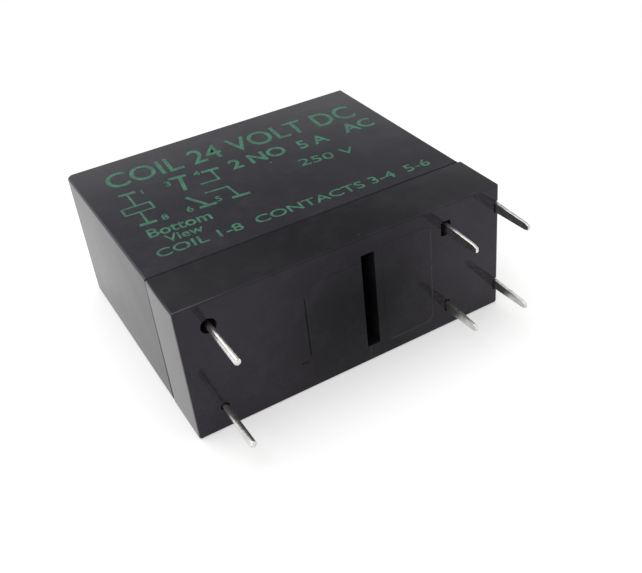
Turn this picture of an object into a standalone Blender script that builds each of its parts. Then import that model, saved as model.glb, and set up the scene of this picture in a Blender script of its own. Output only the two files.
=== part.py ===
# Slim two-pole relay for a circuit board: sealed case, upright coil, hinged armature, pusher card and two
# normally open contacts. It lies on its broad side: +Z is up, the pins point to -Y, the contact end is +X.
import math

import bmesh
import bpy
from mathutils import Matrix, Vector

# Case. Lengths run along X from the coil end, heights along Y from the pin face, widths along Z. All in metres.
CASE_LENGTH = 0.0280
CASE_HEIGHT = 0.0243
CASE_WIDTH = 0.0118
CASE_RADIUS = 0.00040
COVER_WALL = 0.0010
RIM_HEIGHT = 0.0049
RIM_STEP = 0.00022
RIM_RADIUS = 0.00018
SEAM = 0.00015
FLOOR = 0.0020
SPIGOT_WALL = 0.0006
SPIGOT_HEIGHT = 0.0014
CONTACT_END_WALL = 0.00095
CASE_FIT = 0.00008

# Pins
COIL_COLUMN = 0.0024
COIL_TO_CONTACT = 0.02032
CONTACT_PITCH = 0.00508
ROW_PITCH = 0.00762
COIL_PIN_LENGTH = 0.0048
CONTACT_PIN_LENGTH = 0.0044
COIL_PIN_RADIUS = 0.00031
TERMINAL_WIDTH = 0.0010
TERMINAL_THICKNESS = 0.0004
TIP_TAPER = 0.00018
TIP_LENGTH = 0.00045
PIN_FIT = 0.00005

# Marks moulded in the pin face
SLOT_COLUMN = 0.01545
SLOT_WIDTH = 0.00116
SLOT_LENGTH = 0.0088
SLOT_DEPTH = 0.0046
WELL_MARGIN = 0.00035
WELL_DEPTH = 0.0004
PANEL_DEPTH = 0.00014
PANEL_RADIUS = 0.0009
PANEL_MARGIN = 0.0005
COIL_PANEL_LENGTH = 0.0046
COIL_PANEL_WIDTH = 0.0060
CONTACT_PANEL_LENGTH = 0.0040
CONTACT_PANEL_WIDTH = 0.0086

# Walls that stand on the base's floor
BARRIER_WALL = 0.00067
BARRIER_TOP = 0.0116
BARRIER_CLEARANCE = 0.0003
PARTITION_WALL = 0.0007
PARTITION_TOP = 0.0124
REST_WALL = 0.0011
REST_TOP = 0.0045
RIB_WALL = 0.0008
RIB_INSET = 0.0030

# Coil
COIL_AXIS = 0.0065
BOBBIN_BOTTOM = 0.0066
BOTTOM_FLANGE = 0.0010
TOP_FLANGE = 0.0008
WINDING_HEIGHT = 0.0112
FLANGE_LENGTH = 0.0098
FLANGE_WIDTH = 0.0092
FLANGE_RADIUS = 0.0006
TUBE_WALL = 0.0006
CORE_RADIUS = 0.0019
CORE_TAIL_RADIUS = 0.00145
POLE_RADIUS = 0.0029
POLE_THICKNESS = 0.0007
WINDING_DEPTH = 0.0016
WIRE_ROWS = 20
WIRE_RIPPLE = 0.00012
TAPE_THICKNESS = 0.00012
TAPE_SHARE = 0.68
LEAD_RADIUS = 0.00007
LEAD_TURNS = 2.5
LEAD_PITCH = 0.0002
LEAD_POST = 0.0013

# Iron and armature
YOKE_THICKNESS = 0.0012
YOKE_WIDTH = 0.0074
YOKE_END = 0.0033
YOKE_BEND = 0.0010
ARMATURE_THICKNESS = 0.0012
ARMATURE_LEG_THICKNESS = 0.0010
ARMATURE_WIDTH = 0.0070
ARMATURE_REACH = 0.0096
ARMATURE_LEG = 0.00645
ARMATURE_STROKE_DEG = 4.0
HINGE_OFFSET = 0.00015
POLE_CLEARANCE = 0.0001

# Return spring
SPRING_WIDTH = 0.0024
SPRING_THICKNESS = 0.0002
SPRING_FOOT = 0.0021
SPRING_SWEEP = 0.00175
RIVET_RADIUS = 0.0004
RIVET_HEAD_RADIUS = 0.00075
RIVET_HEAD = 0.0003

# Card and contacts
CARD_THICKNESS = 0.0020
CARD_DROP = 0.0006
CARD_PRONG_INNER = 0.0016
CARD_PRONG_OUTER = 0.0034
CARD_BAR_START = 0.0021
CARD_BAR_LENGTH = 0.0036
CARD_BAR_HALF = 0.0045
CARD_FINGER_INNER = 0.0025
POLE_PITCH = 0.0065
TAB_WIDTH = 0.0017
TAB_TOP = 0.0074
BLADE_THICKNESS = 0.00025
BLADE_ROOT = 0.0056
BLADE_TAIL = 0.0010
BLADE_NECK = 0.0014
BLADE_HEAD_RADIUS = 0.00115
CONTACT_HEIGHT = 0.0190
CONTACT_RADIUS = 0.0010
CONTACT_SHANK = 0.0005
CONTACT_HEAD = 0.0006
FIXED_CONTACT_HEAD = 0.0005
CONTACT_BACK = 0.00025
CONTACT_CLEARANCE = 0.00006
FIXED_TERMINAL_TOP = 0.0204
SEAT = 0.0001

# Worked out from the sizes above
PIN_FACE_Y = max(COIL_PIN_LENGTH, CONTACT_PIN_LENGTH) / 2 - CASE_HEIGHT / 2
MID_WIDTH = CASE_WIDTH / 2
MOVING_COLUMN = COIL_COLUMN + COIL_TO_CONTACT
FIXED_COLUMN = MOVING_COLUMN + CONTACT_PITCH
COVER_START = RIM_STEP + COVER_WALL
SPIGOT_TOP = RIM_HEIGHT + SPIGOT_HEIGHT
SPIGOT_INSET = COVER_WALL + CASE_FIT
CAVITY_INSET = SPIGOT_INSET + SPIGOT_WALL
CAVITY_END = CASE_LENGTH - RIM_STEP - SPIGOT_INSET - CONTACT_END_WALL
YOKE_BOTTOM = BOBBIN_BOTTOM - SEAT - YOKE_THICKNESS
WINDING_START = BOBBIN_BOTTOM + BOTTOM_FLANGE
BOBBIN_TOP = WINDING_START + WINDING_HEIGHT + TOP_FLANGE
TUBE_RADIUS = CORE_RADIUS + SEAT + TUBE_WALL
WINDING_RADIUS = TUBE_RADIUS + SEAT + WINDING_DEPTH
POLE_TOP = BOBBIN_TOP + SEAT + POLE_THICKNESS
YOKE_INNER = COIL_AXIS + FLANGE_LENGTH / 2 + 0.5 * YOKE_THICKNESS
YOKE_FACE = YOKE_INNER + YOKE_THICKNESS
HINGE_COLUMN = YOKE_FACE + HINGE_OFFSET
HINGE_HEIGHT = POLE_TOP + POLE_CLEARANCE - HINGE_OFFSET / 3
LEG_FACE = HINGE_OFFSET + ARMATURE_LEG_THICKNESS
STROKE = math.radians(ARMATURE_STROKE_DEG)
CARD_TRAVEL = ARMATURE_LEG * STROKE
CARD_BOTTOM = HINGE_HEIGHT - ARMATURE_LEG - CARD_DROP
CARD_START = HINGE_COLUMN + LEG_FACE + SEAT
BLADE_FACE = MOVING_COLUMN + TERMINAL_THICKNESS / 2 + SEAT
CARD_END = BLADE_FACE - SEAT
BLADE_ARM = CARD_BOTTOM + CARD_THICKNESS / 2 - BLADE_ROOT
BLADE_STROKE = CARD_TRAVEL / BLADE_ARM
MOVING_FACE = BLADE_FACE + BLADE_THICKNESS + SEAT / 2 + CONTACT_HEAD
CONTACT_TRAVEL = (CONTACT_HEIGHT - BLADE_ROOT) * math.sin(BLADE_STROKE)
FIXED_FACE = MOVING_FACE + CONTACT_TRAVEL + CONTACT_CLEARANCE
UPRIGHT_COLUMN = FIXED_FACE + FIXED_CONTACT_HEAD + SEAT / 2 + TERMINAL_THICKNESS / 2
JOG_HEIGHT = FLOOR + SEAT / 2 + TERMINAL_THICKNESS / 2

ROUND_STEPS = 24
SMALL_STEPS = 12
OVERLAP = 0.0003
BEYOND = 0.0005
DRAWN_LARGER = 1000
ROWS = {"a": 1, "b": -1}


def along(length):
    return length - CASE_LENGTH / 2


def above(height):
    return PIN_FACE_Y + height


def row_z(side):
    return MID_WIDTH + side * ROW_PITCH / 2


def pole_z(side):
    return MID_WIDTH + side * POLE_PITCH / 2


# Scene, collections and materials
def clear_scene():
    for obj in list(bpy.data.objects):
        bpy.data.objects.remove(obj, do_unlink=True)


def new_collection(name):
    collection = bpy.data.collections.new(name)
    bpy.context.scene.collection.children.link(collection)
    return collection


def new_material(name, colour, roughness, metallic=0.0):
    material = bpy.data.materials.new(name)
    material.use_nodes = True
    surface = material.node_tree.nodes["Principled BSDF"]
    surface.inputs["Base Color"].default_value = (*colour, 1.0)
    surface.inputs["Roughness"].default_value = roughness
    surface.inputs["Metallic"].default_value = metallic
    material.diffuse_color = (*colour, 1.0)
    return material


FINISHES = {
    "case_black": ((0.045, 0.043, 0.050), 0.45, 0.0),
    "base_black": ((0.040, 0.038, 0.042), 0.25, 0.0),
    "bobbin_ivory": ((0.78, 0.74, 0.62), 0.50, 0.0),
    "card_white": ((0.85, 0.84, 0.80), 0.50, 0.0),
    "tape_amber": ((0.75, 0.45, 0.10), 0.35, 0.0),
    "enamel_copper": ((0.62, 0.24, 0.10), 0.30, 1.0),
    "plated_iron": ((0.62, 0.61, 0.58), 0.35, 1.0),
    "tinned_brass": ((0.74, 0.73, 0.71), 0.25, 1.0),
    "spring_bronze": ((0.72, 0.47, 0.25), 0.30, 1.0),
    "contact_silver": ((0.86, 0.86, 0.84), 0.22, 1.0),
}


def finished(obj, finish):
    colour, roughness, metallic = FINISHES[finish]
    obj.data.materials.append(new_material(f"{obj.name}_{finish}", colour, roughness, metallic))
    return obj


# Shapes
def place(name, data, collection, location=(0, 0, 0), rotation=(0, 0, 0)):
    obj = bpy.data.objects.new(name, data)
    obj.location = location
    obj.rotation_euler = rotation
    collection.objects.link(obj)
    return obj


def as_helper(obj):
    obj.hide_render = True
    obj.display_type = "WIRE"
    return obj


def runs_along(axis):
    return lambda edge: abs((edge.verts[0].co - edge.verts[1].co).normalized()[axis]) > 0.99


def on_side(axis, sign, reach):
    return lambda edge: all(sign * vert.co[axis] > reach for vert in edge.verts)


def block_mesh(name, size, chosen=(), radius=0.0, segments=3):
    """A box centred on its origin. Edges that any test in chosen picks are rounded."""
    shape = bmesh.new()
    bmesh.ops.create_cube(shape, size=1)
    bmesh.ops.scale(shape, vec=size, verts=shape.verts)
    edges = [edge for edge in shape.edges if any(test(edge) for test in chosen)]
    if edges:
        bmesh.ops.bevel(
            shape, geom=edges, offset=radius, segments=segments, profile=0.5, affect="EDGES", material=-1
        )
    mesh = bpy.data.meshes.new(name)
    shape.to_mesh(mesh)
    shape.free()
    return mesh


def block(name, low, high, collection, chosen=(), radius=0.0, segments=3):
    low, high = Vector(low), Vector(high)
    return place(name, block_mesh(name, high - low, chosen, radius, segments), collection, (low + high) / 2)


def rod(name, radius, low, high, axis, collection, steps=ROUND_STEPS):
    """A cylinder between two points that lie along axis 1 (Y) or axis 0 (X)."""
    low, high = Vector(low), Vector(high)
    shape = bmesh.new()
    bmesh.ops.create_cone(
        shape, cap_ends=True, segments=steps, radius1=radius, radius2=radius, depth=(high - low).length
    )
    mesh = bpy.data.meshes.new(name)
    shape.to_mesh(mesh)
    shape.free()
    turn = (0, math.pi / 2, 0) if axis == 0 else (-math.pi / 2, 0, 0)
    return place(name, mesh, collection, (low + high) / 2, turn)


def rounded(corners, steps=4):
    """Points of an outline whose corners are (x, y, radius): each radius becomes an arc."""
    points = []
    for i, (x, y, radius) in enumerate(corners):
        corner = Vector((x, y))
        before = (Vector(corners[i - 1][:2]) - corner).normalized()
        after = (Vector(corners[(i + 1) % len(corners)][:2]) - corner).normalized()
        if radius <= 0:
            points.append((x, y))
            continue
        half = before.angle(after) / 2
        centre = corner + (before + after).normalized() * radius / math.sin(half)
        start = corner + before * radius / math.tan(half) - centre
        finish = corner + after * radius / math.tan(half) - centre
        turn = start.angle_signed(finish)
        for step in range(steps + 1):
            arm = start.copy()
            arm.rotate(Matrix.Rotation(-turn * step / steps, 2))
            points.append(tuple(centre + arm))
    return points


def outline_mesh(name, points, thickness):
    """A flat outline in local XY, with its thickness along local Z, made one closed mesh.

    The curve is drawn larger, because filling a curve loses corners that lie very close together.
    """
    curve = bpy.data.curves.new(name, "CURVE")
    curve.dimensions = "2D"
    curve.fill_mode = "BOTH"
    curve.extrude = DRAWN_LARGER * thickness / 2
    spline = curve.splines.new("POLY")
    spline.points.add(len(points) - 1)
    for point, (x, y) in zip(spline.points, points):
        point.co = (DRAWN_LARGER * x, DRAWN_LARGER * y, 0, 1)
    spline.use_cyclic_u = True
    guide = place(name + "_outline", curve, bpy.context.scene.collection)
    graph = bpy.context.evaluated_depsgraph_get()
    mesh = bpy.data.meshes.new_from_object(guide.evaluated_get(graph))
    bpy.data.objects.remove(guide, do_unlink=True)
    shape = bmesh.new()
    shape.from_mesh(mesh)
    bmesh.ops.remove_doubles(shape, verts=shape.verts, dist=1e-4)
    bmesh.ops.recalc_face_normals(shape, faces=shape.faces)
    bmesh.ops.scale(shape, vec=Vector.Fill(3, 1 / DRAWN_LARGER), verts=shape.verts)
    shape.to_mesh(mesh)
    shape.free()
    mesh.name = name
    return mesh


FACE_XY = (0, 0, 0)
FACE_ZY = (0, -math.pi / 2, 0)
FACE_XZ = (math.pi / 2, 0, 0)


def plate(name, points, thickness, collection, location, facing=FACE_XY):
    return place(name, outline_mesh(name, points, thickness), collection, location, facing)


def bent_strip(name, path, width, thickness, collection, location):
    """Sheet metal bent along a path in local XY, its width along local Z."""
    shape = bmesh.new()
    verts = [shape.verts.new((x, y, -width / 2)) for x, y in path]
    edges = [shape.edges.new(pair) for pair in zip(verts, verts[1:])]
    swept = bmesh.ops.extrude_edge_only(shape, edges=edges)["geom"]
    moved = [item for item in swept if isinstance(item, bmesh.types.BMVert)]
    bmesh.ops.translate(shape, verts=moved, vec=(0, 0, width))
    mesh = bpy.data.meshes.new(name)
    shape.to_mesh(mesh)
    shape.free()
    strip = place(name, mesh, collection, location)
    sheet = strip.modifiers.new("Sheet", "SOLIDIFY")
    sheet.thickness = thickness
    sheet.offset = 0
    sheet.use_even_offset = True
    return strip


def turned(name, profile, collection, location, rotation=(0, 0, 0), steps=ROUND_STEPS, ring=False):
    """A profile of (radius, height) turned about local Z. It runs from the top down its outer side."""
    shape = bmesh.new()
    verts = [shape.verts.new((radius, 0, height)) for radius, height in profile]
    pairs = list(zip(verts, verts[1:]))
    if ring:
        pairs.append((verts[-1], verts[0]))
    for pair in pairs:
        shape.edges.new(pair)
    mesh = bpy.data.meshes.new(name)
    shape.to_mesh(mesh)
    shape.free()
    obj = place(name, mesh, collection, location, rotation)
    screw = obj.modifiers.new("Turn", "SCREW")
    screw.axis = "Z"
    screw.steps = steps
    screw.render_steps = steps
    screw.use_merge_vertices = True
    screw.merge_threshold = 1e-6
    screw.use_smooth_shade = False
    return obj


ALONG_X = (0, math.pi / 2, 0)
ALONG_Y = (-math.pi / 2, 0, 0)


def combine(obj, other, operation):
    change = obj.modifiers.new(other.name, "BOOLEAN")
    change.operation = operation
    change.solver = "EXACT"
    change.object = as_helper(other)
    return obj


def cut(obj, *tools):
    for tool in tools:
        combine(obj, tool, "DIFFERENCE")
    return obj


def join(obj, *others):
    for other in others:
        combine(obj, other, "UNION")
    return obj


def pivot(name, location, collection):
    empty = bpy.data.objects.new(name, None)
    empty.location = location
    empty.empty_display_size = 0.002
    collection.objects.link(empty)
    return empty


def hang_on(empty, *pieces):
    """Parents pieces to an empty and leaves them where they are."""
    for piece in pieces:
        piece.parent = empty
        piece.location = piece.location - empty.location


# Case
def make_cover(parts, cutters):
    bottom = RIM_HEIGHT + SEAM
    cover = block(
        "cover",
        (along(RIM_STEP), above(bottom), 0),
        (along(CASE_LENGTH - RIM_STEP), above(CASE_HEIGHT), CASE_WIDTH),
        parts,
        chosen=(runs_along(1), on_side(1, 1, (CASE_HEIGHT - bottom) / 2 - CASE_FIT)),
        radius=CASE_RADIUS,
    )
    hollow = block(
        "cover_hollow",
        (along(COVER_START), above(bottom) - BEYOND, COVER_WALL),
        (along(CASE_LENGTH - COVER_START), above(CASE_HEIGHT - COVER_WALL), CASE_WIDTH - COVER_WALL),
        cutters,
        chosen=(runs_along(1), on_side(1, 1, (CASE_HEIGHT - bottom) / 2 - COVER_WALL)),
        radius=CASE_RADIUS / 2,
        segments=2,
    )
    return finished(cut(cover, hollow), "case_black")


def base_walls(cutters):
    """The solids that are joined to the base's slab: spigot, barrier, partition, rest wall and ribs."""
    spigot = block(
        "spigot",
        (along(RIM_STEP + SPIGOT_INSET), above(FLOOR), SPIGOT_INSET),
        (along(CASE_LENGTH - RIM_STEP - SPIGOT_INSET), above(SPIGOT_TOP), CASE_WIDTH - SPIGOT_INSET),
        cutters,
        chosen=(runs_along(1), on_side(1, 1, 0)),
        radius=CASE_RADIUS / 2,
        segments=2,
    )
    barrier_half = SLOT_WIDTH / 2 + BARRIER_WALL
    side_gap = COVER_WALL + BARRIER_CLEARANCE
    barrier = block(
        "barrier",
        (along(SLOT_COLUMN - barrier_half), above(FLOOR - OVERLAP), side_gap),
        (along(SLOT_COLUMN + barrier_half), above(BARRIER_TOP), CASE_WIDTH - side_gap),
        cutters,
        chosen=(on_side(1, 1, 0),),
        radius=CASE_RADIUS / 2,
        segments=2,
    )
    partition = block(
        "partition",
        (along(SLOT_COLUMN), above(FLOOR - OVERLAP), MID_WIDTH - PARTITION_WALL / 2),
        (along(CAVITY_END + OVERLAP), above(PARTITION_TOP), MID_WIDTH + PARTITION_WALL / 2),
        cutters,
    )
    rest_face = MOVING_COLUMN - TERMINAL_THICKNESS / 2 - SEAT
    rest = block(
        "terminal_rest",
        (along(rest_face - REST_WALL), above(FLOOR - OVERLAP), CAVITY_INSET - OVERLAP),
        (along(rest_face), above(REST_TOP), CASE_WIDTH - CAVITY_INSET + OVERLAP),
        cutters,
    )
    ribs = [
        block(
            f"yoke_rib_{i}",
            (along(centre - RIB_WALL / 2), above(FLOOR - OVERLAP), CAVITY_INSET - OVERLAP),
            (along(centre + RIB_WALL / 2), above(YOKE_BOTTOM - SEAT), CASE_WIDTH - CAVITY_INSET + OVERLAP),
            cutters,
        )
        for i, centre in enumerate((COIL_AXIS - RIB_INSET, COIL_AXIS + RIB_INSET + RIB_WALL))
    ]
    return [spigot, barrier, partition, rest, *ribs]


def pin_face_cuts(cutters):
    """The slot and the shallow panels of the pin face."""
    slot = block(
        "insulation_slot",
        (along(SLOT_COLUMN - SLOT_WIDTH / 2), above(-BEYOND), MID_WIDTH - SLOT_LENGTH / 2),
        (along(SLOT_COLUMN + SLOT_WIDTH / 2), above(SLOT_DEPTH), MID_WIDTH + SLOT_LENGTH / 2),
        cutters,
    )
    slot_side = SLOT_WIDTH / 2 + PANEL_MARGIN
    coil_panel = panel(
        "coil_panel", SLOT_COLUMN - slot_side - COIL_PANEL_LENGTH / 2, COIL_PANEL_LENGTH, COIL_PANEL_WIDTH, cutters
    )
    contact_panel = panel(
        "contact_panel",
        SLOT_COLUMN + slot_side + CONTACT_PANEL_LENGTH / 2,
        CONTACT_PANEL_LENGTH,
        CONTACT_PANEL_WIDTH,
        cutters,
    )
    return [slot, coil_panel, contact_panel]


def panel(name, centre, length, width, cutters):
    x, z = length / 2, width / 2
    corners = [(-x, -z), (x, -z), (x, z), (-x, z)]
    points = rounded([(*corner, PANEL_RADIUS) for corner in corners])
    location = (along(centre), above(0), MID_WIDTH)
    return plate(name, points, 2 * PANEL_DEPTH, cutters, location, FACE_XZ)


def terminal_cuts(row, side, cutters):
    """The holes and wells of one row of pins, and the pocket in the contact end for the fixed terminal."""
    z = row_z(side)
    low, high = above(-BEYOND), above(FLOOR + OVERLAP)
    hole = COIL_PIN_RADIUS + PIN_FIT
    coil_x = along(COIL_COLUMN)
    coil_hole = rod(f"coil_hole_{row}", hole, (coil_x, low, z), (coil_x, high, z), 1, cutters, SMALL_STEPS)
    coil_well = rod(
        f"coil_well_{row}",
        hole + WELL_MARGIN,
        (coil_x, low, z),
        (coil_x, above(WELL_DEPTH), z),
        1,
        cutters,
    )
    x_half, z_half = TERMINAL_THICKNESS / 2 + PIN_FIT, TERMINAL_WIDTH / 2 + PIN_FIT
    moving_x, fixed_x = along(MOVING_COLUMN), along(FIXED_COLUMN)
    moving_hole = block(
        f"moving_hole_{row}", (moving_x - x_half, low, z - z_half), (moving_x + x_half, high, z + z_half), cutters
    )
    well_x, well_z = x_half + WELL_MARGIN, z_half + WELL_MARGIN
    moving_well = block(
        f"moving_well_{row}",
        (moving_x - well_x, low, z - well_z),
        (moving_x + well_x, above(WELL_DEPTH), z + well_z),
        cutters,
        chosen=(runs_along(1),),
        radius=CASE_RADIUS / 2,
        segments=2,
    )
    outside = along(CASE_LENGTH + BEYOND)
    notch = block(
        f"fixed_notch_{row}", (fixed_x - x_half, low, z - z_half), (outside, high, z + z_half), cutters
    )
    tab_half = TAB_WIDTH / 2 + PIN_FIT
    outer = z + side * z_half
    inner = pole_z(side) - side * tab_half
    window = block(
        f"fixed_window_{row}",
        (along(CAVITY_END - OVERLAP), above(FLOOR - PIN_FIT), min(inner, outer)),
        (outside, above(JOG_HEIGHT + TERMINAL_THICKNESS / 2 + PIN_FIT), max(inner, outer)),
        cutters,
    )
    return [coil_hole, coil_well, moving_hole, moving_well, notch, window]


def make_base(parts, cutters):
    base = block(
        "base",
        (along(0), above(0), 0),
        (along(CASE_LENGTH), above(RIM_HEIGHT), CASE_WIDTH),
        parts,
        chosen=(runs_along(1), on_side(1, -1, 0)),
        radius=RIM_RADIUS,
        segments=2,
    )
    spigot, *walls = base_walls(cutters)
    cavity = block(
        "base_cavity",
        (along(RIM_STEP + CAVITY_INSET), above(FLOOR), CAVITY_INSET),
        (along(CAVITY_END), above(SPIGOT_TOP) + BEYOND, CASE_WIDTH - CAVITY_INSET),
        cutters,
    )
    join(base, spigot)
    cut(base, cavity)
    join(base, *walls)
    cut(base, *pin_face_cuts(cutters))
    for row, side in ROWS.items():
        cut(base, *terminal_cuts(row, side, cutters))
    return finished(base, "base_black")


# Coil and iron
def make_bobbin(parts, cutters):
    half_length, half_width = FLANGE_LENGTH / 2, FLANGE_WIDTH / 2
    bobbin = block(
        "bobbin",
        (along(COIL_AXIS - half_length), above(BOBBIN_BOTTOM), MID_WIDTH - half_width),
        (along(COIL_AXIS + half_length), above(WINDING_START), MID_WIDTH + half_width),
        parts,
        chosen=(runs_along(1),),
        radius=FLANGE_RADIUS,
    )
    top = block(
        "top_flange",
        (along(COIL_AXIS - half_length), above(BOBBIN_TOP - TOP_FLANGE), MID_WIDTH - half_width),
        (along(COIL_AXIS + half_length), above(BOBBIN_TOP), MID_WIDTH + half_width),
        cutters,
        chosen=(runs_along(1),),
        radius=FLANGE_RADIUS,
    )
    x = along(COIL_AXIS)
    tube = rod(
        "bobbin_tube",
        TUBE_RADIUS,
        (x, above(WINDING_START - OVERLAP), MID_WIDTH),
        (x, above(BOBBIN_TOP - OVERLAP), MID_WIDTH),
        1,
        cutters,
    )
    bore = rod(
        "bobbin_bore",
        CORE_RADIUS + SEAT,
        (x, above(BOBBIN_BOTTOM) - BEYOND, MID_WIDTH),
        (x, above(BOBBIN_TOP) + BEYOND, MID_WIDTH),
        1,
        cutters,
    )
    join(bobbin, tube, top)
    cut(bobbin, bore)
    for row, side in ROWS.items():
        hole = rod(
            f"bobbin_pin_hole_{row}",
            COIL_PIN_RADIUS + PIN_FIT,
            (along(COIL_COLUMN), above(BOBBIN_BOTTOM) - BEYOND, row_z(side)),
            (along(COIL_COLUMN), above(WINDING_START) + BEYOND, row_z(side)),
            1,
            cutters,
            SMALL_STEPS,
        )
        cut(bobbin, hole)
    return finished(bobbin, "bobbin_ivory")


def make_winding(parts):
    """Rows of wire: the outer side of the turned ring swells once for each row."""
    length = WINDING_HEIGHT - 2 * SEAT
    outer = []
    for i in range(2 * WIRE_ROWS + 1):
        drop = length * i / (2 * WIRE_ROWS)
        outer.append((WINDING_RADIUS - (WIRE_RIPPLE if i % 2 == 0 else 0), length - drop))
    inner = TUBE_RADIUS + SEAT
    profile = outer + [(inner, 0), (inner, length)]
    start = (along(COIL_AXIS), above(WINDING_START + SEAT), MID_WIDTH)
    winding = turned("coil_winding", profile, parts, start, ALONG_Y, ring=True)
    return finished(winding, "enamel_copper")


def make_tape(parts):
    height = TAPE_SHARE * WINDING_HEIGHT
    inner = WINDING_RADIUS + SEAT / 2
    outer = inner + TAPE_THICKNESS
    profile = [(outer, height), (outer, 0), (inner, 0), (inner, height)]
    start = above(WINDING_START + (WINDING_HEIGHT - height) / 2)
    tape = turned("coil_tape", profile, parts, (along(COIL_AXIS), start, MID_WIDTH), ALONG_Y, ring=True)
    return finished(tape, "tape_amber")


def make_core(parts):
    tail = YOKE_BOTTOM - SEAT
    profile = [
        (0, POLE_TOP),
        (POLE_RADIUS, POLE_TOP),
        (POLE_RADIUS, POLE_TOP - POLE_THICKNESS),
        (CORE_RADIUS, POLE_TOP - POLE_THICKNESS),
        (CORE_RADIUS, BOBBIN_BOTTOM),
        (CORE_TAIL_RADIUS, BOBBIN_BOTTOM),
        (CORE_TAIL_RADIUS, tail),
        (0, tail),
    ]
    core = turned("core", profile, parts, (along(COIL_AXIS), above(0), MID_WIDTH), ALONG_Y)
    return finished(core, "plated_iron")


def make_yoke(parts, cutters):
    top = HINGE_HEIGHT - SEAT
    low, floor_top = YOKE_BOTTOM, YOKE_BOTTOM + YOKE_THICKNESS
    corners = [
        (along(YOKE_END), above(low), 0),
        (along(YOKE_FACE), above(low), YOKE_BEND),
        (along(YOKE_FACE), above(top), 0),
        (along(YOKE_INNER), above(top), 0),
        (along(YOKE_INNER), above(floor_top), 0),
        (along(YOKE_END), above(floor_top), 0),
    ]
    yoke = plate("yoke", rounded(corners), YOKE_WIDTH, parts, (0, 0, MID_WIDTH))
    x = along(COIL_AXIS)
    stake_hole = rod(
        "stake_hole",
        CORE_TAIL_RADIUS + PIN_FIT,
        (x, above(low) - BEYOND, MID_WIDTH),
        (x, above(floor_top) + BEYOND, MID_WIDTH),
        1,
        cutters,
    )
    y = above(YOKE_BOTTOM + YOKE_THICKNESS + SPRING_FOOT)
    rivet_hole = rod(
        "spring_rivet_hole",
        RIVET_RADIUS + PIN_FIT,
        (along(YOKE_FACE - YOKE_THICKNESS / 2), y, MID_WIDTH),
        (along(YOKE_FACE) + BEYOND, y, MID_WIDTH),
        0,
        cutters,
        SMALL_STEPS,
    )
    return finished(cut(yoke, stake_hole, rivet_hole), "plated_iron")


def make_armature(parts):
    """An iron L with its origin on the hinge. Its long arm is open by the stroke, its short leg is upright."""
    rise = Vector((-math.cos(STROKE), math.sin(STROKE)))
    normal = Vector((math.sin(STROKE), math.cos(STROKE)))
    inner = Vector((HINGE_OFFSET, HINGE_OFFSET / 3))
    tip = inner + rise * ARMATURE_REACH
    tip_top = tip + normal * ARMATURE_THICKNESS
    shoulder = inner.y + (ARMATURE_THICKNESS - (LEG_FACE - inner.x) * normal.x) / normal.y
    corners = [
        (*inner, 0),
        (*tip, 0),
        (*tip_top, ARMATURE_THICKNESS / 4),
        (LEG_FACE, shoulder, ARMATURE_THICKNESS / 2),
        (LEG_FACE, -ARMATURE_LEG, 0),
        (inner.x, -ARMATURE_LEG, 0),
    ]
    hinge = (along(HINGE_COLUMN), above(HINGE_HEIGHT), MID_WIDTH)
    armature = plate("armature", rounded(corners), ARMATURE_WIDTH, parts, hinge)
    finished(armature, "plated_iron")
    hang_on(pivot("armature_pivot", hinge, parts), armature)


def make_return_spring(parts, cutters):
    """A leaf riveted to the yoke, which passes under the armature's leg and leans on its shoulder."""
    foot = YOKE_FACE + SEAT + SPRING_THICKNESS / 2
    run = YOKE_FACE + SEAT + SPRING_SWEEP
    lean = HINGE_COLUMN + LEG_FACE + SEAT + SPRING_THICKNESS / 2
    foot_height = YOKE_BOTTOM + YOKE_THICKNESS + SPRING_FOOT
    leg_end = HINGE_HEIGHT - ARMATURE_LEG
    path = [
        (foot, foot_height - 2 * RIVET_HEAD_RADIUS, 0),
        (foot, leg_end - 0.3 * ARMATURE_LEG, SPRING_SWEEP / 3),
        (run, leg_end - 0.05 * ARMATURE_LEG, SPRING_SWEEP / 3),
        (run, HINGE_HEIGHT - 0.15 * ARMATURE_LEG, SPRING_SWEEP / 3),
        (lean, HINGE_HEIGHT, 0),
    ]
    points = [(along(x), above(y)) for x, y in rounded(path)]
    spring = bent_strip(
        "return_spring", points, SPRING_WIDTH, SPRING_THICKNESS, parts, (0, 0, MID_WIDTH)
    )
    y = above(foot_height)
    hole = rod(
        "spring_hole",
        RIVET_RADIUS + PIN_FIT,
        (along(YOKE_FACE), y, MID_WIDTH),
        (along(foot) + BEYOND, y, MID_WIDTH),
        0,
        cutters,
        SMALL_STEPS,
    )
    finished(cut(spring, hole), "spring_bronze")
    head = foot + SPRING_THICKNESS / 2 + SEAT / 2
    start = YOKE_FACE - YOKE_THICKNESS / 2 + SEAT
    profile = rivet_profile(start, head, head + RIVET_HEAD, RIVET_RADIUS, RIVET_HEAD_RADIUS)
    rivet = turned("spring_rivet", profile, parts, (along(0), y, MID_WIDTH), ALONG_X, SMALL_STEPS)
    finished(rivet, "tinned_brass")


def rivet_profile(start, head, end, shank, radius):
    """A shank from start to head, and a head from head to end, as (radius, place along the axis)."""
    edge = (end - head) / 3
    return [
        (0, end),
        (radius - edge, end),
        (radius, end - edge),
        (radius, head),
        (shank, head),
        (shank, start),
        (0, start),
    ]


def double_rivet_profile(places, back_radius, shank, radius):
    """A rivet with a head at both ends. places: back, underside of the back head, underside of the face, face."""
    back, back_under, under, face = places
    edge = (face - under) / 4
    return [
        (0, face),
        (radius - edge, face),
        (radius, face - edge),
        (radius, under),
        (shank, under),
        (shank, back_under),
        (back_radius, back_under),
        (back_radius, back),
        (0, back),
    ]


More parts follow.
